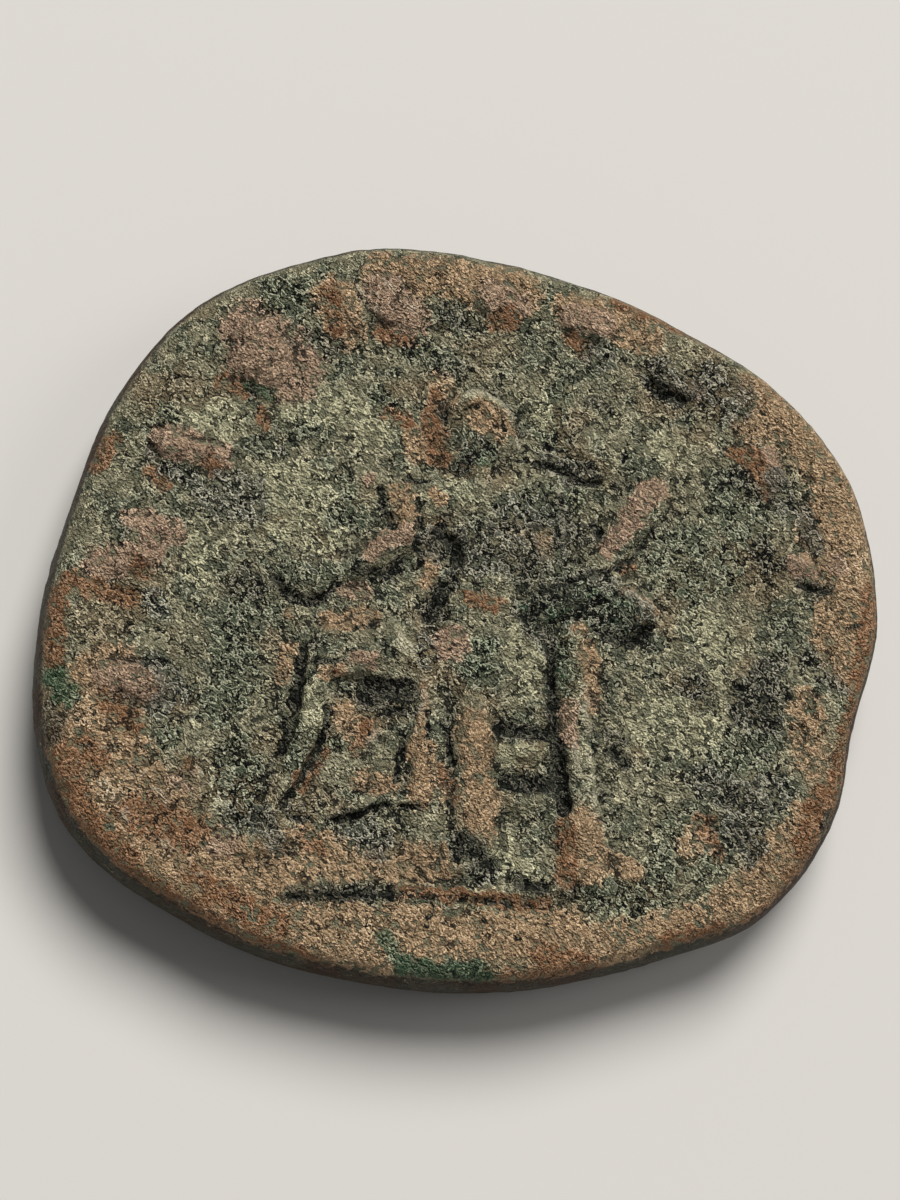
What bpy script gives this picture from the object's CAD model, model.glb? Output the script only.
"""A worn Roman brass coin, crusted with patina and earth, lying on a pale sheet."""

import math

import bmesh
import bpy
import numpy as np
from mathutils import Matrix, Vector, noise
from mathutils.bvhtree import BVHTree


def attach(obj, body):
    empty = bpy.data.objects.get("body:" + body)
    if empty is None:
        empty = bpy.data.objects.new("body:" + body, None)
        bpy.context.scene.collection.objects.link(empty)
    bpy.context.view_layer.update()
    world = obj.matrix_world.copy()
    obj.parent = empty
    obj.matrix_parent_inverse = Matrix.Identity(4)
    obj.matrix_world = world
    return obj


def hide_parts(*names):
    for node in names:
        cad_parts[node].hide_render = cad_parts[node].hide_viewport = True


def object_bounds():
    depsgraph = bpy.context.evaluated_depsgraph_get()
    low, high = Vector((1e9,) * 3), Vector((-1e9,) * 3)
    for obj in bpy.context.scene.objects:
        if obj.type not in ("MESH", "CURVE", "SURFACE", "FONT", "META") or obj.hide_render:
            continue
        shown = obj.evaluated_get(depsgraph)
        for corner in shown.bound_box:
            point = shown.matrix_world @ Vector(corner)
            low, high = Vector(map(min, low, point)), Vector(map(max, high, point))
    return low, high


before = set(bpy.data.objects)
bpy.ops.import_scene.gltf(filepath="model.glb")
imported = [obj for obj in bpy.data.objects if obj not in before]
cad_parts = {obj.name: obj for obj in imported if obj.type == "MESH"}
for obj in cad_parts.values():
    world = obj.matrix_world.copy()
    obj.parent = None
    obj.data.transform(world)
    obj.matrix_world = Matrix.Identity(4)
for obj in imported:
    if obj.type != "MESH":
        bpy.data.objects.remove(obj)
cad_low, cad_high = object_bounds()

# The flan is one cast and struck disc of brass, uneven all round, with thick rounded edges.
# It starts as a box of fine grids, finer on the face that shows, which is laid on the packed
# solid ray by ray. Its facets are then smoothed away.
MM = 0.001
EDGE_ROWS = 16
FACE_ROWS = 120
FINE_FROM = -0.2
CORE_DEPTH = 1.2 * MM
SMOOTH_PASSES = 5

solid = bmesh.new()
solid.from_mesh(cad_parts["coin"].data)
bmesh.ops.remove_doubles(solid, verts=solid.verts, dist=0.001 * MM)
skin = BVHTree.FromBMesh(solid)
middle = Vector((0.0, 0.0, (cad_low.z + cad_high.z) / 2.0))


def on_flan(corner):
    """The place on the coin's skin for a point of a box that reaches from -1 to 1."""
    u, v, w = corner
    disc = Vector((u * math.sqrt(1.0 - v * v / 2.0), v * math.sqrt(1.0 - u * u / 2.0), 0.0))
    outward = disc.normalized() if disc.length > 1e-6 else Vector((1.0, 0.0, 0.0))
    girth = skin.ray_cast(middle, outward)[3]
    start = middle + outward * min(disc.length, 1.0) * (girth - CORE_DEPTH)
    turn = w * math.pi / 2.0
    return skin.ray_cast(start, outward * math.cos(turn) + Vector((0.0, 0.0, math.sin(turn))))[0]


flan = bmesh.new()
bmesh.ops.create_cube(flan, size=2.0)
upright = [edge for edge in flan.edges if edge.verts[0].co.z * edge.verts[1].co.z < 0.0]
bmesh.ops.subdivide_edges(flan, edges=upright, cuts=EDGE_ROWS - 1, use_grid_fill=True)
level = [edge for edge in flan.edges if abs(edge.verts[0].co.z - edge.verts[1].co.z) < 1e-6]
bmesh.ops.subdivide_edges(flan, edges=level, cuts=FACE_ROWS - 1, use_grid_fill=True)
upper = [edge for edge in flan.edges if min(vert.co.z for vert in edge.verts) > FINE_FROM]
bmesh.ops.subdivide_edges(flan, edges=upper, cuts=1, use_grid_fill=True)
for vert in flan.verts:
    vert.co = on_flan(vert.co)
for _ in range(SMOOTH_PASSES):
    bmesh.ops.smooth_vert(
        flan, verts=flan.verts, factor=0.5, use_axis_x=True, use_axis_y=True, use_axis_z=True
    )
flan.normal_update()
flan.verts.index_update()

# The dies' relief is worn and eaten by the soil. Fine lines of it are left as slits and ridges,
# and corrosion has pitted the brass between them. Strokes are placed in mm from the coin's middle.
points = np.array([vert.co for vert in flan.verts]) / MM
normals = np.array([vert.normal for vert in flan.verts])
places = [Vector(point) for point in points]
neighbours = np.array([[vert.index for vert in edge.verts] for edge in flan.edges])


def smoothstep(share):
    share = np.clip(share, 0.0, 1.0)
    return share * share * (3.0 - 2.0 * share)


def rough(length, seed, octaves=2):
    """Random heights, most of them between -1 and 1, which change over a length in mm."""
    shift = Vector((seed, -seed, 2.0 * seed))
    return np.array([noise.fractal(place / length + shift, 1.0, 2.0, octaves) for place in places])


def spread(values, passes):
    """Evens values out between neighbouring points."""
    first, second = neighbours.T
    count = np.bincount(neighbours.ravel(), minlength=len(points))
    for _ in range(passes):
        total = np.bincount(first, values[second], len(points))
        total += np.bincount(second, values[first], len(points))
        values = 0.5 * values + 0.5 * total / count
    return values


class Stencil:
    """Draws lines and spots on a face of the coin. Its outlines stray by a length in mm."""

    def __init__(self, stray, seed):
        self.x = points[:, 0] + stray * rough(3.0 * stray, seed, 3)
        self.y = points[:, 1] + stray * rough(3.0 * stray, seed + 5.0, 3)
        self.fade = 0.5 + 0.5 * smoothstep(0.6 + 0.9 * rough(0.5, seed + 9.0))

    def distance(self, line):
        """Distance to a line through points. One point alone is the middle of a spot."""
        nearest = np.full_like(self.x, np.inf)
        for (x0, y0), (x1, y1) in zip(line, line[1:] or line):
            run_x, run_y = x1 - x0, y1 - y0
            share = ((self.x - x0) * run_x + (self.y - y0) * run_y) / (run_x**2 + run_y**2 + 1e-9)
            share = np.clip(share, 0.0, 1.0)
            away = np.hypot(self.x - x0 - share * run_x, self.y - y0 - share * run_y)
            nearest = np.minimum(nearest, away)
        return nearest

    def groove(self, strokes, widening=1.0):
        """The deepest of strokes (half width, depth, points...), each curved in section."""
        deepest = np.zeros_like(self.x)
        for half_width, depth, *line in strokes:
            share = np.clip(1.0 - self.distance(line) / (half_width * widening), 0.0, 1.0)
            deepest = np.maximum(deepest, depth * share * (2.0 - share))
        return deepest * self.fade

    def stain(self, strokes):
        """The strongest of strokes (half width, strength, points...), each with a soft edge."""
        strongest = np.zeros_like(self.x)
        for half_width, strength, *line in strokes:
            share = smoothstep(1.5 - self.distance(line) / half_width)
            strongest = np.maximum(strongest, strength * share)
        return strongest


UPPER_SLITS = (
    # Sleeve, arm and hand
    (0.15, 0.16, (-2.4, 4.78), (-1.4, 4.65)),
    (0.20, 0.22, (-3.1, 4.4), (-2.95, 3.5), (-2.65, 2.8)),
    (0.20, 0.22, (-1.7, 3.8), (-1.78, 2.4), (-1.7, 1.6)),
    (0.26, 0.18, (-3.9, 1.3), (-3.4, 1.1), (-2.5, 1.25)),
    # Dish
    (0.24, 0.17, (-6.9, 0.95), (-6.4, 0.3), (-5.8, 0.1), (-5.1, 0.25), (-4.7, 0.8)),
    # Neck, breast, waist and back
    (0.40, 0.10, (-0.3, 5.2), (0.2, 5.5), (0.6, 5.9)),
    (0.15, 0.14, (0.9, 2.85), (1.8, 2.8), (2.9, 3.1)),
    (0.30, 0.22, (-0.9, 2.8), (-0.5, 2.2), (-0.3, 1.6)),
    (0.34, 0.24, (-0.7, 1.0), (-0.95, 0.3), (-1.3, -0.4)),
    (0.15, 0.20, (1.9, 5.5), (2.9, 5.4), (3.8, 5.0), (4.2, 4.7), (4.9, 4.75)),
    (0.13, 0.16, (2.8, 6.1), (3.9, 5.95)),
    (0.14, 0.16, (2.7, 4.6), (3.2, 3.4), (3.3, 2.3)),
    (0.15, 0.16, (3.4, 4.0), (3.65, 3.0), (3.7, 2.2)),
    (0.18, 0.16, (4.6, 3.4), (4.9, 2.8), (4.7, 2.1)),
    (0.14, 0.14, (5.8, 6.4), (5.75, 5.5)),
    # Horn of plenty and the arm of the throne
    (0.15, 0.16, (7.0, 3.2), (6.6, 2.5), (6.1, 1.9), (5.3, 1.45)),
    (0.18, 0.18, (5.2, 1.4), (4.2, 1.15), (3.2, 0.75), (2.4, 0.2), (2.1, -0.4)),
    (0.13, 0.14, (5.0, 2.3), (4.3, 1.8), (3.5, 1.5)),
    (0.24, 0.18, (2.2, -0.3), (2.9, 0.1), (3.6, 0.6)),
    (0.30, 0.20, (5.1, -1.0), (6.0, -1.15), (6.7, -0.7)),
    # Hair
    (0.12, 0.12, (0.0, 7.3), (0.8, 7.5), (1.25, 7.1), (1.45, 6.5)),
    # Left of the front leg, between the legs and at the shin
    (0.26, 0.36, (-5.9, -1.7), (-6.05, -2.9), (-6.25, -4.0), (-6.6, -5.4)),
    (0.22, 0.24, (-4.95, -3.8), (-5.2, -5.0), (-5.8, -6.2), (-6.5, -7.2)),
    (0.50, 0.26, (-2.3, -3.1), (-3.6, -3.0)),
    (0.30, 0.20, (-2.4, -3.8), (-3.6, -3.4)),
    (0.16, 0.18, (-5.5, -2.1), (-4.6, -2.12)),
    (0.16, 0.18, (-1.45, -3.9), (-1.38, -4.8)),
    (0.20, 0.24, (-2.35, -4.8), (-2.5, -6.4)),
    (0.18, 0.20, (-0.8, -4.2), (-0.65, -5.0), (-0.55, -5.7)),
    (0.14, 0.16, (-0.6, -7.0), (-0.55, -7.7)),
    (0.14, 0.14, (-3.9, -0.9), (-3.3, -0.75)),
    (0.16, 0.14, (-3.3, -1.3), (-2.6, -1.75)),
    # Hem and feet
    (0.15, 0.14, (-6.6, -7.5), (-6.0, -7.8), (-5.5, -7.8)),
    (0.16, 0.18, (-4.8, -7.75), (-3.9, -7.6), (-2.9, -7.25)),
    (0.16, 0.18, (-2.3, -7.3), (-1.5, -7.3)),
    (0.34, 0.18, (0.1, -8.8), (0.8, -9.4)),
    (0.18, 0.20, (-0.3, -8.3), (-0.3, -9.1)),
    (0.28, 0.26, (-6.3, -10.5), (-4.6, -10.45), (-2.8, -10.35)),
    (0.16, 0.12, (-2.4, -10.4), (-0.8, -10.4), (1.6, -10.7)),
    (0.26, 0.20, (1.9, -9.9), (2.8, -10.1)),
    # Throne: left of the post, and the gaps between its rails
    (0.22, 0.30, (3.05, -1.5), (3.15, -3.2), (3.1, -4.8)),
    (0.30, 0.34, (3.15, -4.8), (3.35, -5.6), (3.45, -7.3)),
    (0.36, 0.22, (1.3, -4.4), (2.9, -4.6)),
    (0.40, 0.24, (1.5, -6.3), (3.0, -6.4)),
    (0.10, 0.12, (4.0, -3.4), (4.15, -4.6), (4.4, -6.2), (4.6, -7.2)),
    (0.10, 0.12, (4.5, -4.0), (4.7, -5.6), (4.95, -7.2)),
    (0.20, 0.16, (5.1, -5.1), (5.8, -5.6)),
    # Cracks and chips
    (0.18, 0.22, (12.2, 1.05), (12.7, 0.95), (13.2, 0.85)),
    (0.12, 0.14, (13.9, -0.45), (14.6, -0.35)),
    (0.14, 0.16, (-1.2, -10.6), (-1.4, -11.5)),
    (0.22, 0.20, (6.8, 8.6), (7.1, 8.15), (7.9, 7.95)),
)
UPPER_RIDGES = (
    # Hair rolled round the head
    (0.20, 0.18, (-0.1, 7.75), (0.4, 7.95), (1.1, 7.75), (1.6, 7.1), (1.85, 6.4), (1.75, 6.0)),
    # Thin ribs down the throne's post
    (0.16, 0.19, (4.15, -2.8), (4.3, -4.6), (4.45, -6.2), (4.6, -7.5)),
    (0.10, 0.10, (3.85, -4.8), (4.1, -7.0)),
    # Folds, the arm of the throne, and the edge of the earth by the rim
    (0.16, 0.12, (-1.5, -2.7), (-1.6, -3.6), (-1.8, -4.8)),
    (0.22, 0.12, (-3.0, -4.5), (-3.7, -5.0)),
    (0.30, 0.16, (-2.45, -1.1), (-2.0, -1.8)),
    (0.20, 0.14, (5.6, 0.7), (6.3, 0.45), (6.95, 0.0)),
    (0.15, 0.10, (0.2, 9.1), (1.1, 8.5)),
    (0.20, 0.12, (3.2, 4.8), (3.5, 3.8), (3.5, 2.6)),
    (0.40, 0.08, (-9.3, -6.0), (-8.8, -7.2)),
    (0.26, 0.10, (-12.9, -6.6), (-12.0, -7.9)),
    (0.26, 0.10, (-11.8, -5.8), (-10.6, -7.2)),
    (0.26, 0.10, (-10.6, -8.8), (-9.4, -9.8)),
    (0.22, 0.10, (-4.2, 11.9), (-3.2, 10.8)),
    (0.22, 0.10, (-3.0, 12.0), (-1.9, 10.9)),
)
UPPER_SWELLS = (
    # Upper arm, forearm, dish, body and horn
    (0.55, 0.12, (-2.3, 4.3), (-2.2, 3.2)),
    (0.45, 0.14, (-2.1, 2.7), (-3.6, 1.9)),
    (0.80, 0.10, (-6.2, 1.0), (-5.4, 1.0)),
    (0.90, 0.10, (0.3, 4.3), (1.2, 3.6)),
    (0.75, 0.12, (6.8, 4.6), (6.1, 3.5)),
    (0.55, 0.12, (6.1, 3.5), (5.5, 2.6), (4.6, 2.0)),
    (0.45, 0.12, (4.8, 1.7), (3.8, 1.4), (3.0, 1.1)),
    (0.80, 0.08, (5.0, 5.5), (6.6, 5.4)),
    (0.70, 0.10, (0.8, 6.9)),
    # Lap, belly and legs
    (0.60, 0.10, (-5.0, -0.9), (-3.4, -0.6), (-2.0, -0.7)),
    (0.90, 0.12, (-0.5, -1.5)),
    (0.45, 0.14, (-5.3, -2.5), (-3.6, -2.0)),
    (0.45, 0.14, (-5.4, -2.8), (-5.6, -4.4), (-6.2, -5.8)),
    (0.50, 0.12, (-1.8, -5.0), (-1.6, -7.0)),
    (0.70, 0.14, (0.3, -4.2), (0.4, -6.0), (0.7, -8.0)),
    (0.60, 0.10, (-3.2, -6.2), (-2.8, -6.6)),
    # Throne
    (0.50, 0.12, (3.7, -1.4), (3.8, -4.6)),
    (0.45, 0.10, (4.5, -1.6), (4.6, -5.0), (4.6, -7.0)),
    (0.80, 0.14, (4.2, -8.0), (4.4, -9.4)),
    (0.55, 0.12, (5.5, -0.2), (6.2, -0.1)),
    (0.40, 0.14, (4.2, -0.7)),
    (0.30, 0.10, (1.3, -5.3), (2.9, -5.3)),
    # Earth where the letters were
    (0.70, 0.24, (-12.6, -2.8), (-11.4, -3.1)),
    (0.60, 0.20, (-13.0, 1.3), (-11.3, 1.8)),
    (0.60, 0.24, (-10.8, 5.8), (-9.2, 5.3)),
    (0.90, 0.26, (-7.9, 9.9), (-7.2, 8.7)),
    (0.90, 0.20, (-4.6, 11.4), (-4.2, 10.4)),
    (0.80, 0.24, (-2.9, 11.6), (-2.2, 10.7)),
    (0.70, 0.20, (0.9, 11.6), (1.9, 11.1)),
    (0.70, 0.20, (4.0, 11.0), (5.0, 10.6)),
    (0.50, 0.20, (7.4, 8.9), (8.2, 8.3)),
    (0.50, 0.20, (11.1, 6.0), (11.3, 5.2)),
    (0.50, 0.22, (12.0, 1.8), (12.6, 1.5)),
    (0.50, 0.10, (13.4, 1.9)),
)
SLIT_SHARE = 0.9
LIP_WIDENING = 2.4
LIP_SHARE = 0.25
LUMP_LENGTH = 1.9
LUMP_HEIGHT = 0.085
CRUST_LENGTH = 0.75
CRUST_HEIGHT = 0.070
GRAIN_LENGTH = 0.32
GRAIN_HEIGHT = 0.050
WALL_SHARE = 0.30
HEADROOM = 0.10
FACE_FROM = 0.25
FACE_BLEND = 0.5
LEAST_EATEN = 0.45
EATEN_RISE = 0.75

# Shares of the upper face, the hidden face and the wall at each point, from the way that it looks
top = smoothstep((normals[:, 2] - FACE_FROM) / FACE_BLEND)
under = smoothstep((-normals[:, 2] - FACE_FROM) / FACE_BLEND)
wall = 1.0 - top - under

close_stencil = Stencil(0.13, 11.0)
slits = top * close_stencil.groove(UPPER_SLITS) * SLIT_SHARE
lips = top * close_stencil.groove(UPPER_SLITS, LIP_WIDENING) * LIP_SHARE
crests = top * close_stencil.groove(UPPER_RIDGES)
ridges = crests + top * close_stencil.groove(UPPER_SWELLS)
eaten = smoothstep(0.5 + 0.9 * rough(2.6, 21.0))
lumps = rough(LUMP_LENGTH, 31.0)
crust = rough(CRUST_LENGTH, 41.0)
grain = rough(GRAIN_LENGTH, 51.0)
bite = LEAST_EATEN + EATEN_RISE * eaten
corrosion = LUMP_HEIGHT * lumps + bite * (CRUST_HEIGHT * crust + GRAIN_HEIGHT * grain)
corrosion *= 1.0 - (1.0 - WALL_SHARE) * wall
corrosion = corrosion * (1.0 - under) - np.abs(corrosion) * under
shift = ridges + lips - slits * (1.0 + LIP_SHARE) + corrosion
struck = points + normals * shift[:, None]
struck[:, 2] = np.maximum(struck[:, 2], 0.0)
# What would stand above the solid's highest point is pressed down softly
over = np.maximum(struck[:, 2] - cad_high.z / MM, 0.0)
struck[:, 2] -= over * over / (over + HEADROOM)
for vert, point in zip(flan.verts, struck):
    vert.co = Vector(point) * MM

# Patina lies in the hollows, and earth and wear mark what stands proud. How far each point lies
# below its surroundings is kept on the mesh, and so are the stains, for the finish to use.
NEAR_PASSES = 10
FAR_PASSES = 90
HIDDEN_STEP = 0.07
HIDDEN_EARTH = 0.9
HIDDEN_PATINA = 0.7
WALL_FADE = 0.9
FULL_SLIT = 0.13
FULL_CREST = 0.14
NEAR_RANGE = 0.12
FAR_RANGE = 0.50
height = struck[:, 2] * (1.0 - 2.0 * under)
near_hollow = (1.0 - wall) * (spread(height, NEAR_PASSES) - height)
near_hollow += wall * (spread(shift, NEAR_PASSES) - shift)
far_hollow = (1.0 - wall) * (spread(height, FAR_PASSES) - height)
far_hollow += wall * (spread(shift, FAR_PASSES) - shift)

STAINS = {
    # Dull mid-green patina
    "green": (
        (0.7, 0.9, (-8.5, -1.4), (-8.1, -2.7), (-8.8, -3.8)),
        (0.7, 1.0, (-7.2, 11.4), (-6.2, 11.4)),
        (0.5, 0.8, (-5.0, 12.3)),
        (0.5, 0.8, (2.9, 11.6)),
        (1.0, 0.5, (7.0, 2.2), (8.6, 2.4)),
        (0.9, 0.5, (8.0, 1.0), (9.6, 1.4)),
        (0.8, 0.6, (4.8, -10.4), (6.8, -10.3), (7.0, -9.6)),
        (0.8, 0.6, (8.4, -9.0), (7.6, -7.8)),
        (0.9, 0.7, (9.6, -5.0), (10.4, -5.2)),
        (0.4, 0.8, (-12.2, -6.5), (-12.6, -7.2)),
        (0.5, 0.8, (-10.6, -4.9)),
        (0.4, 0.9, (-13.7, -3.7), (-13.6, -4.4)),
        (0.5, 0.8, (14.2, 2.0)),
        (0.3, 1.0, (-4.6, -3.0)),
        (0.4, 0.8, (3.5, -1.4), (3.6, -2.7)),
        (0.5, 0.6, (-5.5, -2.7), (-5.6, -4.2), (-6.1, -5.6)),
        (0.9, 0.6, (-8.2, -5.6), (-8.0, -7.4)),
        (0.5, 0.7, (-6.2, 1.1), (-5.2, 1.1)),
        (0.7, 0.6, (-4.9, 4.6), (-4.2, 3.2)),
        (0.8, 0.6, (2.2, 3.8), (3.8, 4.2)),
        (0.6, 0.6, (-10.9, 6.8), (-11.2, 6.2)),
        (0.8, 0.6, (10.4, 3.2), (9.4, 3.9)),
        (0.5, 0.9, (0.6, -1.6), (0.3, -2.5)),
        (0.3, 0.8, (-8.9, 6.6), (-8.0, 6.7)),
        (0.4, 0.7, (-6.6, 6.7), (-5.2, 6.1)),
        (0.4, 0.7, (-3.3, 7.9), (-2.7, 7.3)),
        (0.7, 0.7, (-7.4, 0.0), (-8.0, -0.6)),
        (0.5, 0.7, (-1.9, 9.4), (-0.6, 8.8)),
        (0.3, 0.6, (-5.0, -5.2), (-4.2, -4.9)),
        (0.5, 0.8, (-3.2, -11.2), (-2.6, -12.4)),
        (0.6, 0.6, (3.4, 8.0), (3.0, 6.6)),
    ),
    # Pale yellow-green powder
    "pale": (
        (0.9, 1.0, (-6.9, 4.5), (-6.4, 3.2), (-5.7, 4.2)),
        (0.8, 0.7, (-9.6, 6.8), (-8.6, 6.6)),
        (0.7, 0.7, (-6.4, 7.4), (-4.4, 7.2), (-3.2, 6.4)),
        (0.6, 1.0, (8.6, -0.4), (9.3, -0.9)),
        (1.0, 0.8, (6.8, -4.2), (8.6, -3.9)),
        (0.6, 1.0, (7.2, 6.2), (7.8, 5.8)),
        (0.6, 0.9, (0.2, -11.2), (2.4, -11.3)),
        (0.7, 0.7, (10.6, 8.6), (12.6, 6.9), (13.8, 4.9), (14.4, 3.0), (14.3, 0.6)),
        (0.5, 0.5, (4.6, -11.6), (7.6, -11.0), (9.8, -9.8)),
        (0.4, 0.7, (2.9, 7.6), (3.1, 7.1)),
        (0.5, 0.4, (-0.4, 4.4), (0.8, 3.7)),
        (0.35, 1.0, (-2.45, -1.1), (-2.1, -1.7)),
        (0.7, 0.6, (-9.6, 1.2), (-9.4, 2.4)),
        (0.35, 0.8, (1.3, -5.3), (2.9, -5.3)),
        (0.5, 0.6, (9.0, -1.8), (9.0, -2.4)),
        (0.4, 0.7, (-5.4, 2.0), (-4.6, 2.6)),
        (0.3, 0.8, (-5.5, -3.0), (-5.6, -4.4)),
        (0.16, 1.0, (4.15, -2.8), (4.3, -4.6), (4.6, -7.5)),
        (0.3, 0.8, (1.7, -0.9), (1.6, -2.0)),
        (0.5, 0.7, (2.4, -2.0), (2.2, -2.8)),
        (0.4, 0.8, (1.2, -8.2), (1.3, -9.2), (2.2, -9.4)),
        (0.25, 0.5, (-9.1, -6.2), (-8.8, -7.2), (-8.3, -8.0)),
        (0.4, 0.8, (-6.8, -9.2), (-5.6, -9.4)),
        (0.4, 0.8, (-3.7, -9.4), (-1.8, -9.5)),
        (0.4, 0.7, (4.7, -8.2)),
        (0.15, 0.7, (-0.1, 7.8), (1.1, 7.75), (1.75, 6.6)),
        (0.2, 0.8, (2.2, 0.4), (2.7, 1.0)),
        (0.3, 0.7, (6.2, 0.1)),
    ),
    # Pale orange-brown earth on the worn rim and on what stands proud
    "tan": (
        (1.2, 1.0, (-13.2, -3.2), (-12.6, -5.4), (-11.4, -7.2), (-9.4, -9.2), (-6.6, -10.2)),
        (0.9, 0.8, (-12.6, -2.4), (-12.0, -3.6)),
        (0.7, 0.8, (-6.6, -8.8), (-4.4, -9.3), (-1.0, -9.3)),
        (0.9, 0.9, (-5.0, -11.5), (-2.0, -11.6), (0.8, -11.9), (3.4, -11.6)),
        (0.9, 0.9, (3.0, -12.4), (6.0, -12.1), (9.0, -11.2), (11.2, -9.6), (12.4, -7.6)),
        (0.9, 1.0, (10.9, 8.2), (12.6, 6.6), (13.6, 4.8), (14.2, 3.0)),
        (0.6, 0.8, (10.3, 7.0), (11.6, 6.6)),
        (0.5, 1.0, (13.6, -1.1), (13.8, -2.2)),
        (0.7, 0.6, (12.3, -3.4), (12.6, -5.6)),
        (0.9, 0.8, (-14.2, -4.6), (-12.9, -7.6), (-10.6, -10.0), (-7.4, -11.9), (-3.4, -12.9)),
        (0.7, 0.9, (12.4, 8.0), (14.3, 5.6), (15.0, 3.2)),
        (0.6, 0.7, (14.2, 2.4), (14.1, 0.6)),
        (0.5, 0.7, (15.2, 2.0), (15.0, -1.6)),
        (0.8, 0.9, (-3.0, 12.3), (-0.6, 12.3), (2.0, 11.7)),
        (0.8, 0.7, (-5.0, 11.4), (-4.4, 10.2)),
        (0.6, 0.9, (3.8, 11.2), (5.2, 11.0), (6.6, 10.2)),
        (0.35, 1.0, (-6.4, -1.6), (-6.6, -2.6)),
        (0.25, 0.9, (-6.4, -0.4)),
        (0.28, 0.9, (-1.1, 3.0), (-1.2, 2.2), (-1.5, 0.8)),
        (0.40, 1.0, (-5.0, -0.6), (-3.5, -0.4)),
        (0.30, 0.9, (-5.2, -2.5), (-4.6, -2.4)),
        (0.45, 1.0, (-1.7, -5.2), (-1.6, -6.9)),
        (0.6, 0.9, (0.2, -4.4), (0.4, -6.0), (0.5, -8.0)),
        (0.35, 0.8, (-0.8, -6.0), (-0.6, -6.8)),
        (0.22, 0.9, (-1.6, -3.0), (-1.75, -4.8)),
        (0.7, 1.0, (4.0, -7.9), (4.4, -9.4)),
        (0.45, 1.0, (5.2, -9.1), (5.8, -9.3)),
        (0.35, 0.9, (4.5, -1.5), (4.5, -3.3)),
        (0.35, 1.0, (4.2, -0.7)),
        (0.22, 1.0, (5.7, 0.65), (6.9, 0.05)),
        (0.35, 0.9, (-2.0, 6.4), (-1.7, 5.6)),
        (0.5, 0.6, (-0.9, 8.4), (-0.7, 7.8)),
        (0.4, 0.8, (-2.3, 4.2), (-2.2, 3.2)),
        (0.4, 0.8, (-3.6, -6.3), (-2.8, -6.6)),
        (0.3, 0.8, (2.8, 2.8), (2.9, 2.1)),
        (0.4, 0.7, (-1.0, 4.0)),
        (0.5, 0.7, (-5.6, -8.5), (-4.6, -8.8)),
        (0.5, 0.8, (-4.3, -3.9), (-4.0, -4.6)),
        (0.6, 1.0, (0.6, 7.0), (1.1, 6.7)),
        (0.6, 0.5, (8.0, -8.6), (8.6, -7.8)),
        (0.9, 0.9, (12.9, 3.4), (13.6, 0.8), (13.7, -1.6)),
    ),
    # Earth with a pink cast, thick where the letters were
    "pink": (
        (0.7, 1.0, (-12.6, -2.8), (-11.3, -3.1)),
        (0.6, 0.9, (-13.2, 1.2), (-11.4, 1.7)),
        (0.5, 0.9, (-11.9, 2.9), (-10.6, 2.5)),
        (0.6, 1.0, (-10.9, 5.8), (-9.0, 5.3)),
        (1.0, 1.0, (-7.9, 10.1), (-6.6, 9.4), (-7.9, 8.7), (-6.2, 8.6)),
        (0.8, 1.0, (-3.0, 11.6), (-2.2, 10.7)),
        (0.5, 1.0, (0.9, 11.7), (1.8, 11.2)),
        (0.5, 0.9, (4.0, 10.9), (5.0, 10.7)),
        (0.4, 1.0, (11.2, 5.8), (11.3, 5.1)),
        (0.4, 1.0, (12.1, 1.7), (12.6, 1.4)),
        (0.4, 0.8, (13.6, 1.8)),
        (0.5, 0.8, (8.3, 8.2)),
        (0.5, 0.9, (6.8, 4.5), (6.1, 3.5)),
        (0.35, 0.9, (6.1, 3.5), (5.6, 2.7), (5.0, 2.2)),
        (0.35, 1.0, (-2.2, 2.65), (-3.5, 1.95)),
        (0.3, 0.9, (-4.3, 0.6), (-3.7, 0.5)),
        (0.3, 0.9, (-4.1, -1.9), (-3.4, -2.0)),
        (0.65, 1.0, (-0.6, -1.4)),
        (0.3, 0.8, (-3.6, 4.7)),
        (0.6, 0.8, (-8.6, -8.6)),
        (0.4, 0.7, (3.6, -3.6), (3.7, -4.8)),
        (0.5, 0.6, (-10.0, -6.4)),
    ),
    # Red-brown stains
    "rust": (
        (0.4, 1.0, (-14.2, 0.6), (-14.8, -0.5), (-14.7, -2.2)),
        (0.35, 0.8, (-13.8, 0.5), (-12.0, 0.1)),
        (0.35, 0.9, (-13.3, 5.0), (-12.8, 5.9)),
        (0.3, 0.7, (-11.9, 1.4), (-11.6, 1.1)),
        (0.4, 0.8, (-12.8, -3.5), (-11.8, -4.5)),
        (0.5, 0.7, (-13.6, -5.2), (-13.2, -5.8)),
        (0.8, 0.8, (-11.6, -7.6), (-10.0, -8.2)),
        (0.5, 0.7, (-9.6, -9.8), (-8.4, -10.7), (-6.6, -11.5)),
        (0.5, 0.9, (-14.7, -5.0), (-13.5, -7.7), (-11.4, -10.2), (-8.1, -12.2), (-4.4, -13.3)),
        (0.6, 0.9, (1.6, -13.6), (5.6, -13.3), (9.0, -12.4), (11.4, -10.9), (12.9, -8.6)),
        (0.3, 0.9, (5.6, 11.6), (9.6, 10.2), (12.2, 8.6), (14.2, 6.4), (15.2, 3.6), (15.4, 1.0)),
        (0.35, 0.9, (15.4, 0.4), (14.9, -2.4), (14.2, -5.4), (13.4, -7.8)),
        (0.3, 0.7, (-9.8, -5.8)),
        (0.3, 1.0, (-8.9, 8.3), (-8.1, 7.8)),
        (0.22, 0.9, (-7.4, 7.2), (-7.2, 6.5)),
        (0.3, 0.7, (-9.3, 5.3), (-9.2, 4.8)),
        (0.3, 0.7, (-11.4, 4.7), (-10.8, 4.3)),
        (0.4, 0.6, (-5.0, 11.6), (-4.8, 10.2)),
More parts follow.
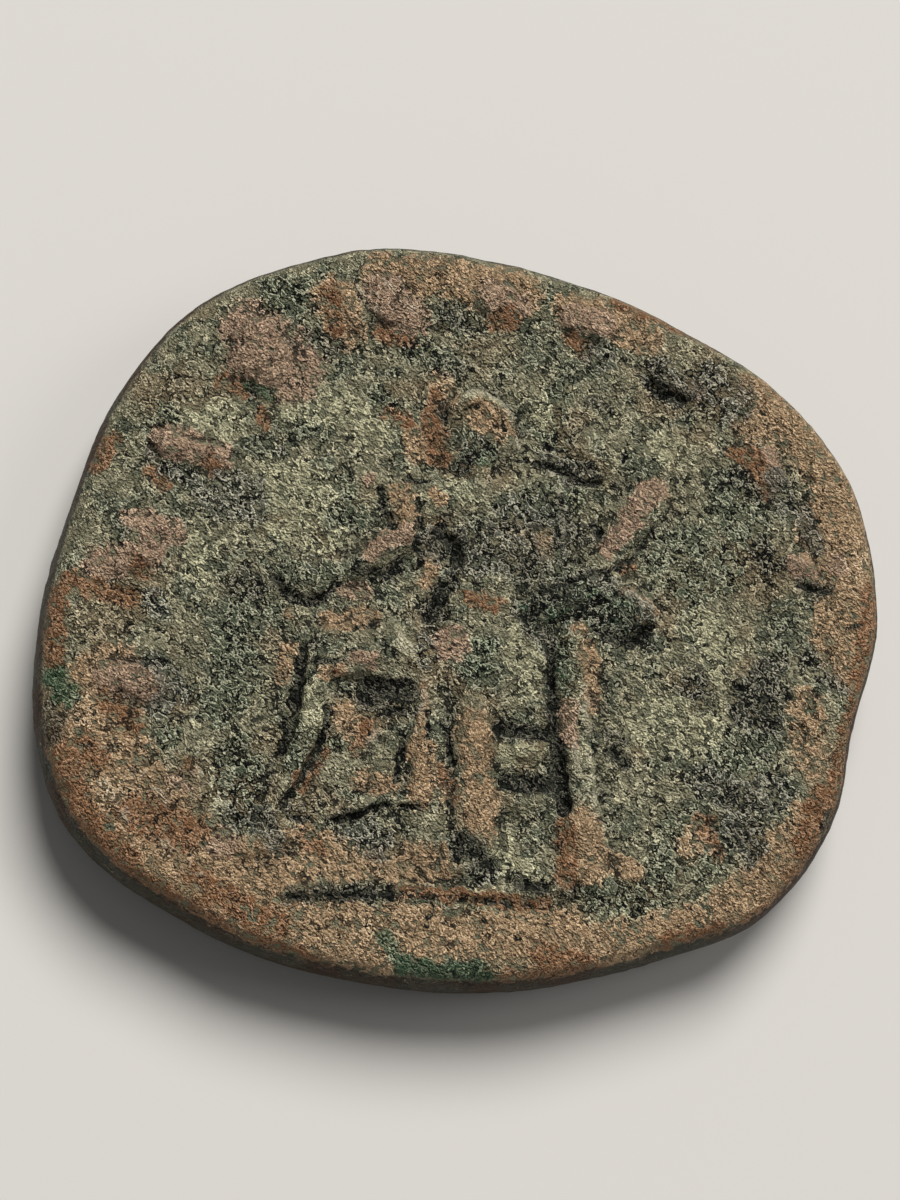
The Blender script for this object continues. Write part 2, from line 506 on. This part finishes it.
        (0.35, 0.8, (-3.0, 10.1), (-2.1, 9.9)),
        (0.4, 0.8, (1.2, 10.7), (1.7, 10.8)),
        (0.3, 0.8, (3.9, 10.1), (4.6, 9.6)),
        (0.36, 1.0, (-1.1, 7.7), (-1.25, 6.6), (-1.0, 5.4)),
        (0.3, 0.7, (-2.8, 7.2), (-2.2, 6.8)),
        (0.4, 1.0, (10.2, 5.9), (10.7, 5.3), (11.1, 4.6)),
        (0.3, 0.8, (14.8, 1.0), (14.6, -1.0), (14.1, -3.2), (13.6, -5.4), (13.1, -7.2)),
        (0.5, 0.9, (12.8, -6.7), (12.2, -8.6)),
        (0.4, 0.8, (8.5, -7.7), (9.0, -8.6)),
        (0.4, 0.9, (2.6, -12.4), (4.2, -12.8)),
        (0.4, 0.9, (7.4, -11.9), (9.0, -11.6)),
        (0.24, 1.0, (-2.6, -10.3), (-0.8, -10.35), (1.6, -10.65), (2.8, -10.6)),
        (0.16, 1.0, (-4.75, -2.4)),
        (0.4, 0.8, (0.3, 0.25), (1.0, 0.1)),
        (0.3, 0.6, (-5.7, -8.5), (-5.0, -8.9)),
        (0.2, 0.8, (-0.9, -5.8), (-0.5, -6.8)),
        (0.25, 0.7, (6.1, 1.9), (5.8, 1.5)),
        (0.35, 0.8, (3.5, -8.0), (3.6, -9.8)),
        (0.3, 0.8, (-5.2, -5.4), (-5.9, -6.5)),
        (0.4, 0.5, (-4.0, -5.2), (-3.4, -4.4)),
    ),
    # Blue-grey slate tones
    "slate": (
        (0.42, 1.0, (-11.2, -2.2), (-10.5, -2.7), (-10.4, -3.4), (-11.0, -3.8)),
        (0.35, 0.9, (-11.2, 0.2), (-10.9, -0.4)),
        (0.5, 0.8, (-8.8, 4.4), (-7.6, 4.3), (-7.6, 3.5), (-8.8, 3.6), (-9.6, 4.2)),
        (0.32, 0.9, (-11.4, 5.4)),
        (0.28, 0.9, (-10.9, 4.8), (-10.0, 4.5)),
        (0.32, 0.9, (-6.65, 5.6)),
        (0.8, 0.8, (9.0, 8.6), (10.0, 7.9)),
        (0.6, 0.9, (7.2, 8.8), (7.8, 8.2)),
        (0.42, 1.0, (11.4, 5.0), (11.7, 4.2)),
        (0.38, 1.0, (12.4, 3.7), (12.8, 2.6)),
        (0.6, 1.0, (11.0, -2.1), (10.4, -2.8), (10.2, -3.6), (10.9, -4.0)),
        (0.6, 1.0, (8.7, -6.1), (9.9, -6.9), (11.2, -6.5)),
        (0.6, 0.9, (9.7, -7.6), (10.3, -8.5)),
        (0.4, 1.0, (-7.3, -7.7), (-6.9, -8.5)),
        (0.5, 0.7, (-8.2, -7.7)),
        (0.5, 1.0, (0.2, -8.8), (0.7, -9.5)),
        (0.45, 1.0, (-0.1, 5.3), (0.5, 5.8)),
        (0.5, 0.8, (5.0, 9.5)),
        (0.5, 0.6, (12.6, -1.6), (13.4, -2.6)),
        (0.5, 0.8, (5.3, -0.5), (6.4, -0.8)),
        (0.9, 0.5, (0.4, 2.4), (1.8, 1.8), (3.0, 1.8)),
        (0.6, 0.7, (1.4, 3.6), (2.8, 3.4), (3.6, 3.0)),
        (0.5, 0.7, (3.0, 5.6), (4.4, 5.0)),
        (0.6, 0.8, (-4.1, -8.1), (-3.1, -8.6)),
        (0.4, 0.6, (-1.6, -1.3), (-1.4, -1.9)),
        (0.4, 0.7, (2.4, -0.6), (2.9, -1.2)),
        (0.7, 0.7, (3.0, 0.2), (4.6, 0.4)),
        (0.3, 0.6, (-5.5, 1.5)),
        (0.6, 0.6, (8.3, -2.6)),
        (0.7, 1.0, (2.3, -0.2), (3.4, 0.5), (4.8, 0.6), (6.2, -0.4)),
        (0.6, 0.9, (-1.2, 2.4), (0.2, 1.6)),
    ),
    # Bright green verdigris
    "verdigris": (
        (0.45, 1.0, (-14.6, -2.9), (-14.2, -3.5)),
        (0.3, 0.8, (-2.9, -11.9), (-2.6, -12.5)),
        (0.35, 1.0, (-2.2, -12.9), (-0.6, -13.1), (0.6, -13.1)),
        (0.3, 0.8, (5.2, -0.3), (5.7, -0.5)),
        (0.22, 0.8, (-7.8, 7.9), (-7.1, 7.75)),
        (0.5, 0.6, (-0.1, 5.3), (0.7, 5.6)),
        (0.7, 0.6, (2.6, -0.1), (3.8, 0.4), (5.6, -0.2)),
        (0.4, 0.45, (3.3, -1.4), (3.3, -3.0)),
        (0.4, 0.35, (0.5, -1.3), (0.3, -2.2)),
    ),
    # Near-black corrosion
    "black": (
        (0.45, 1.0, (-14.6, -4.2), (-14.8, -4.9)),
        (0.35, 0.9, (-7.9, 1.1), (-7.5, 0.4)),
        (0.4, 0.6, (-8.4, 0.5)),
        (0.25, 1.0, (-6.9, 0.9), (-6.4, 0.3), (-5.8, 0.1), (-5.1, 0.3)),
        (0.35, 1.0, (10.0, 5.1), (10.6, 4.5)),
        (0.35, 1.0, (10.7, 2.6), (11.4, 1.7)),
        (0.25, 1.0, (12.2, 1.05), (13.2, 0.9)),
        (0.45, 1.0, (11.2, -2.0), (10.3, -3.4), (11.0, -4.0)),
        (0.5, 1.0, (10.5, -2.9), (11.3, -3.0)),
        (0.6, 0.6, (8.4, -2.4), (8.6, -3.2)),
        (0.45, 1.0, (9.0, -6.5), (10.0, -6.9)),
        (0.4, 0.8, (9.8, -8.0), (10.4, -8.6)),
        (0.35, 1.0, (13.3, -7.6), (12.9, -8.6)),
        (0.4, 0.7, (-0.6, 10.9), (0.2, 10.5)),
        (0.4, 0.9, (6.9, 9.0), (7.1, 8.2), (8.0, 8.0)),
        (0.3, 0.6, (4.5, 7.8), (5.1, 7.7)),
        (0.3, 0.8, (5.1, -4.6), (5.5, -4.8)),
        (0.25, 0.9, (5.2, -5.2), (5.8, -5.6)),
        (0.3, 0.5, (-12.6, 2.6), (-12.2, 2.4)),
        (0.5, 0.9, (-3.7, -3.0), (-2.3, -3.2)),
        (0.35, 0.9, (-3.6, -3.6), (-2.2, -3.9)),
        (0.22, 0.9, (5.2, -1.0), (6.6, -1.15), (6.75, -0.6)),
        (0.26, 1.0, (1.9, -9.9), (2.8, -10.1)),
        (0.32, 1.0, (-6.3, -10.45), (-2.8, -10.35)),
        (0.3, 0.8, (2.4, 0.6), (3.6, 0.4)),
        (0.4, 0.9, (-0.9, 2.4), (-0.4, 1.8), (-0.2, 2.6)),
        (0.5, 0.6, (0.6, 1.9), (2.0, 1.6)),
        (0.3, 0.6, (3.2, 5.4), (4.0, 5.0), (4.6, 5.2)),
        (0.4, 0.6, (3.4, 2.4), (4.6, 2.9)),
        (0.45, 0.9, (-0.8, 0.9), (-1.3, -0.5)),
        (0.55, 0.55, (5.3, -0.35), (6.3, -0.5)),
        (0.5, 0.5, (2.5, 0.4), (3.6, 0.6)),
        (0.35, 0.7, (2.3, -0.6), (2.9, -1.1)),
        (0.4, 0.6, (4.2, 0.2), (4.8, -0.2)),
        (0.32, 0.9, (1.3, -4.4), (2.9, -4.6)),
        (0.40, 0.9, (1.5, -6.3), (3.0, -6.4)),
        (0.30, 1.0, (3.1, -5.0), (3.45, -7.2)),
        (0.20, 1.0, (3.05, -1.6), (3.15, -4.8)),
        (0.25, 0.8, (-0.3, -8.3), (-0.3, -9.1)),
        (0.35, 0.7, (0.3, -9.1), (0.8, -9.4)),
        (0.4, 0.4, (-1.4, 9.2), (-0.2, 8.9)),
        (0.3, 0.7, (-8.2, -7.7)),
        (0.35, 0.7, (-5.6, 9.9), (-4.9, 9.5)),
        (0.3, 0.9, (-0.2, 5.1), (0.1, 5.4)),
        (0.2, 0.9, (-4.8, -7.75), (-3.8, -7.55), (-2.9, -7.2)),
        (0.2, 0.7, (-6.5, -7.4), (-5.7, -7.8)),
        (0.3, 0.7, (-5.5, -1.5), (-5.2, -1.4)),
        (0.2, 0.8, (-3.9, 1.5), (-3.4, 1.1), (-2.5, 1.2)),
        (0.25, 0.7, (-0.85, 7.5), (-0.8, 7.2)),
        (0.2, 0.6, (4.3, 4.75), (4.9, 4.7)),
        (0.3, 0.6, (3.6, -10.3)),
    ),
}

mesh = bpy.data.meshes.new("struck_coin")
flan.to_mesh(mesh)
flan.free()
solid.free()
mesh.shade_smooth()
coin = bpy.data.objects.new("struck_coin", mesh)
bpy.context.scene.collection.objects.link(coin)


def keep(name, values):
    """Keeps a number for each point of the mesh, which the finish reads by name."""
    attribute = mesh.attributes.new(name, "FLOAT", "POINT")
    attribute.data.foreach_set("value", np.clip(values, 0.0, 1.0).astype(np.float32))


loose_stencil = Stencil(0.22, 61.0)
# The hidden face has no placed stains: its own hollows and high points colour it
hidden = {
    "tan": HIDDEN_EARTH * under * smoothstep(-far_hollow / HIDDEN_STEP),
    "slate": HIDDEN_PATINA * under * smoothstep(far_hollow / HIDDEN_STEP),
    "green": HIDDEN_PATINA * under * smoothstep(0.5 + 0.9 * rough(3.2, 71.0)),
}
for name, strokes in STAINS.items():
    shown = (1.0 - under) * (1.0 - WALL_FADE * wall) * loose_stencil.stain(strokes)
    keep(name, shown + hidden.get(name, 0.0))
keep("slit", (slits / FULL_SLIT) ** 1.2)
keep("crest", crests / FULL_CREST)
keep("near_hollow", 0.5 + near_hollow / NEAR_RANGE)
keep("far_hollow", 0.5 + far_hollow / FAR_RANGE)
keep("wall", wall)


class Shade:
    """A number or colour that changes over the surface: the output of one shader node."""

    def __init__(self, finish, output):
        self.finish = finish
        self.output = output

    def __add__(self, other):
        return self.finish.maths("ADD", self, other)

    def __sub__(self, other):
        return self.finish.maths("SUBTRACT", self, other)

    def __rsub__(self, other):
        return self.finish.maths("SUBTRACT", other, self)

    def __mul__(self, other):
        return self.finish.maths("MULTIPLY", self, other)

    __radd__ = __add__
    __rmul__ = __mul__

    def between(self, low, high):
        """0 up to low, 1 from high, and smooth in between."""
        sockets = {"Value": self, "From Min": low, "From Max": high}
        return self.finish.node("MapRange", {"interpolation_type": "SMOOTHSTEP"}, sockets)


class Finish:
    """A material whose nodes are made one by one."""

    def __init__(self, name):
        self.material = bpy.data.materials.new(name)
        self.material.use_nodes = True
        self.tree = self.material.node_tree
        self.shader = self.tree.nodes["Principled BSDF"]

    def join(self, value, socket):
        if isinstance(value, Shade):
            self.tree.links.new(value.output, socket)
        else:
            socket.default_value = value

    def node(self, kind, settings, sockets, output=0):
        """Adds a node, sets it up, then gives its sockets their values or links."""
        made = self.tree.nodes.new("ShaderNode" + kind)
        for name, value in settings.items():
            setattr(made, name, value)
        for name, value in sockets.items():
            self.join(value, made.inputs[name])
        return Shade(self, made.outputs[output])

    def maths(self, operation, first, second=0.0):
        return self.node("Math", {"operation": operation}, {0: first, 1: second})

    def read(self, name):
        """A number kept on the mesh."""
        return self.node("Attribute", {"attribute_name": name}, {}, "Fac")

    def mix(self, first, second, share):
        """The first colour at a share of 0, the second at 1."""
        return self.node("Mix", {"data_type": "RGBA"}, {0: share, 6: first, 7: second}, 2)

    def clouds(self, place, scale, detail=2.0, roughness=0.5, distortion=0.0):
        sockets = {"Vector": place, "Scale": scale, "Detail": detail, "Roughness": roughness}
        sockets["Distortion"] = distortion
        return self.node("TexNoise", {}, sockets)


def colour(red, green, blue):
    """A colour as read on a screen, from 0 to 255, turned into the share of light it reflects."""
    return tuple(((value / 255.0 + 0.055) / 1.055) ** 2.4 for value in (red, green, blue)) + (1.0,)


OLIVE = colour(152, 148, 120)
KHAKI = colour(184, 178, 145)
GREY_GREEN = colour(114, 120, 99)
BROWN = colour(160, 138, 106)
TAN_EARTH = colour(194, 162, 125)
PINK_EARTH = colour(192, 161, 134)
RUST = colour(154, 109, 74)
MID_GREEN = colour(92, 105, 82)
VERDIGRIS = colour(58, 94, 66)
SLATE = colour(104, 107, 97)
PALE_POWDER = colour(206, 202, 164)
BLACK_CRUST = colour(46, 50, 42)
CREAM_FLECK = colour(250, 240, 212)
WALL_GREEN = colour(76, 73, 59)
WALL_BROWN = colour(72, 51, 35)
LEAN = -42.0
LEAN_SCALE = (1.0, 0.72, 1.0)
DARK_VEIN = 0.465
BRIGHT_VEIN = 0.545
PIT_LIGHT = 0.03
FLECK_LIGHT = 3.0
BUMP_DISTANCE = 0.56 * MM

brass = Finish("patinated_brass")
metres = brass.node("TexCoord", {}, {}, "Object")
place = brass.node("Mapping", {}, {"Vector": metres, "Scale": (1 / MM, 1 / MM, 1 / MM)})
turned = brass.node("Mapping", {}, {"Vector": place, "Rotation": (0.0, 0.0, math.radians(LEAN))})
leaning = brass.node("Mapping", {}, {"Vector": turned, "Scale": LEAN_SCALE})
near = brass.read("near_hollow")
far = brass.read("far_hollow")
slit = brass.read("slit")
side = brass.read("wall")

broad = brass.clouds(place, 0.45, 3.0)
patchy = brass.clouds(place, 1.0, 4.0, 0.6)
mottled = brass.clouds(place, 2.4, 4.0, 0.65)
worms = brass.clouds(leaning, 5.0, 2.0, 0.6, 0.6)
fine = brass.clouds(leaning, 12.0, 1.0, 0.6, 0.5)
grit = worms * 0.35 + fine * 0.65
veins = brass.clouds(leaning, 3.6, 1.0, 0.5, 0.9) * 0.75 + fine * 0.25

# Bare patina, mottled, and the colours of the wall
ground = brass.mix(OLIVE, KHAKI, mottled.between(0.44, 0.60))
ground = brass.mix(ground, GREY_GREEN, patchy.between(0.47, 0.58) * 0.85)
ground = brass.mix(ground, BROWN, broad.between(0.50, 0.64) * 0.6)

# Placed stains, broken up at their edges
broken = (mottled - 0.5) * 4.0 + (veins - 0.5) * 5.0 + 1.1
walled = brass.mix(WALL_GREEN, WALL_BROWN, broad.between(0.42, 0.58))
coloured = brass.mix(ground, walled, side.between(0.3, 0.8))
for name, tint, share in (
    ("green", MID_GREEN, 0.8),
    ("pale", PALE_POWDER, 0.8),
    ("tan", TAN_EARTH, 1.0),
    ("pink", PINK_EARTH, 1.0),
    ("rust", RUST, 0.9),
    ("slate", SLATE, 0.8),
    ("verdigris", VERDIGRIS, 0.9),
    ("black", BLACK_CRUST, 0.8),
):
    cover = (brass.read(name) * broken).between(0.15, 0.80)
    coloured = brass.mix(coloured, tint, cover * share)

# Black crust in the hollows and slits
gap = brass.maths("ABSOLUTE", veins - DARK_VEIN)
depth = near * 0.5 + far * 0.5
crusted = (depth - gap * 2.5 + (mottled - 0.5)).between(0.42, 0.57)
coloured = brass.mix(coloured, BLACK_CRUST, crusted * 0.75)
slitted = (slit - gap * 5.0 + (mottled - 0.5) * 1.8).between(0.04, 0.20)
coloured = brass.mix(coloured, BLACK_CRUST, slitted * 0.92)

# Fine dark pits and pale flecks, fewer on earth and on the wall
calm = side * 0.85
busy = (patchy * 0.5 + mottled * 0.5).between(0.43, 0.53)
patina = (brass.read("green") + brass.read("slate") + brass.read("black") + slit).between(0.0, 0.8)
earth = (brass.read("tan") + brass.read("pink") + brass.read("rust") + brass.read("pale")).between(0.0, 1.0)
bitten = (busy * 0.45 + patina * 0.45 + 0.35) * (1.0 - earth * 0.35) * (1.0 - calm)
dark = 1.0 - (gap - crusted * 0.015).between(0.017, 0.040)
pitted = brass.node("VectorMath", {"operation": "SCALE"}, {0: coloured, "Scale": PIT_LIGHT})
coloured = brass.mix(coloured, pitted, dark * bitten)
bright = 1.0 - brass.maths("ABSOLUTE", veins - BRIGHT_VEIN).between(0.018, 0.044)
lit = brass.node("VectorMath", {"operation": "SCALE"}, {0: coloured, "Scale": FLECK_LIGHT})
fleck = brass.mix(lit, CREAM_FLECK, patina * 0.10 + 0.38)
bright *= bitten * (1.0 - slitted * 0.65)
coloured = brass.mix(coloured, fleck, bright)
crest = (brass.read("crest") + (veins - 0.5) * 3.0).between(0.50, 0.75)
coloured = brass.mix(coloured, CREAM_FLECK, crest * 0.4)

brass.join(coloured, brass.shader.inputs["Base Color"])
brass.join((grit * 0.3 + 0.62) - side * 0.12, brass.shader.inputs["Roughness"])
brass.shader.inputs["Metallic"].default_value = 0.0
brass.shader.inputs["Specular IOR Level"].default_value = 0.2
relief = (grit + veins * 0.7) * (1.0 - side * 0.6)
bump = brass.node("Bump", {}, {"Strength": 1.0, "Distance": BUMP_DISTANCE, "Height": relief})
brass.join(bump, brass.shader.inputs["Normal"])

mesh.materials.append(brass.material)
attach(coin, "root")
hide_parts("coin")

# The sheet that the coin lies on is matt pale card, smooth and flat.
# It is one plain plane, wider than any view shows.
SHEET_SIZE = 4.0
SHEET_GAP = 0.01 * MM
CARD = colour(234, 231, 226)

sheet_mesh = bmesh.new()
bmesh.ops.create_grid(sheet_mesh, x_segments=1, y_segments=1, size=SHEET_SIZE / 2.0)
bmesh.ops.translate(sheet_mesh, verts=sheet_mesh.verts, vec=(0.0, 0.0, -SHEET_GAP))
floor_mesh = bpy.data.meshes.new("sheet")
sheet_mesh.to_mesh(floor_mesh)
sheet_mesh.free()
floor = bpy.data.objects.new("sheet", floor_mesh)
bpy.context.scene.collection.objects.link(floor)

card = Finish("pale_card")
card.shader.inputs["Base Color"].default_value = CARD
card.shader.inputs["Roughness"].default_value = 0.9
floor_mesh.materials.append(card.material)

# Soft daylight from above, less of it from the right, and a weak even light from all round.
LIGHT_AZIMUTH = 72.0
LIGHT_ELEVATION = 50.0
LIGHT_DISTANCE = 1.6
LIGHT_SIZE = 0.90
LIGHT_POWER = 24.3
SIDE_AZIMUTH = 12.0
SIDE_ELEVATION = 38.0
SIDE_SIZE = 0.8
SIDE_POWER = 3.2
SKY_STRENGTH = 0.11
WINDOW_COLOUR = (1.0, 0.985, 0.96)
SKY_COLOUR = (0.97, 0.985, 1.0, 1.0)


def heading(azimuth, elevation):
    """The direction at an angle from +X, counter-clockwise, and an angle above the sheet."""
    a, e = math.radians(azimuth), math.radians(elevation)
    return Vector((math.cos(a) * math.cos(e), math.sin(a) * math.cos(e), math.sin(e)))


for name, azimuth, elevation, size, power in (
    ("window", LIGHT_AZIMUTH, LIGHT_ELEVATION, LIGHT_SIZE, LIGHT_POWER),
    ("side_window", SIDE_AZIMUTH, SIDE_ELEVATION, SIDE_SIZE, SIDE_POWER),
):
    window = bpy.data.lights.new(name, "AREA")
    window.shape = "DISK"
    window.size = size
    window.energy = power
    window.color = WINDOW_COLOUR
    window_object = bpy.data.objects.new(name, window)
    towards = heading(azimuth, elevation)
    window_object.location = towards * LIGHT_DISTANCE
    window_object.rotation_euler = towards.to_track_quat("Z", "Y").to_euler()
    bpy.context.scene.collection.objects.link(window_object)

sky = bpy.data.worlds.new("sky")
sky.use_nodes = True
sky.node_tree.nodes["Background"].inputs["Color"].default_value = SKY_COLOUR
sky.node_tree.nodes["Background"].inputs["Strength"].default_value = SKY_STRENGTH
bpy.context.scene.world = sky
bpy.context.scene.view_settings.view_transform = "Standard"

# The camera looks down on the coin, a little from its lower left, as it was photographed.
CAMERA_AZIMUTH = -30.0
CAMERA_ELEVATION = 77.0
CAMERA_LENS = 100.0
CAMERA_DISTANCE = 121.65 * MM
LOOK_AT = Vector((-0.39, 0.60, 2.0)) * MM

lens = bpy.data.cameras.new("camera")
lens.lens = CAMERA_LENS
lens.clip_start = 0.01
camera = bpy.data.objects.new("camera", lens)
back = heading(CAMERA_AZIMUTH - 90.0, CAMERA_ELEVATION)
up = Vector((0.0, 1.0, 0.0))
up = (up - back * up.dot(back)).normalized()
right = up.cross(back)
camera.matrix_world = Matrix.Translation(LOOK_AT + back * CAMERA_DISTANCE) @ Matrix(
    (right, up, back)
).transposed().to_4x4()
bpy.context.scene.collection.objects.link(camera)
bpy.context.scene.camera = camera
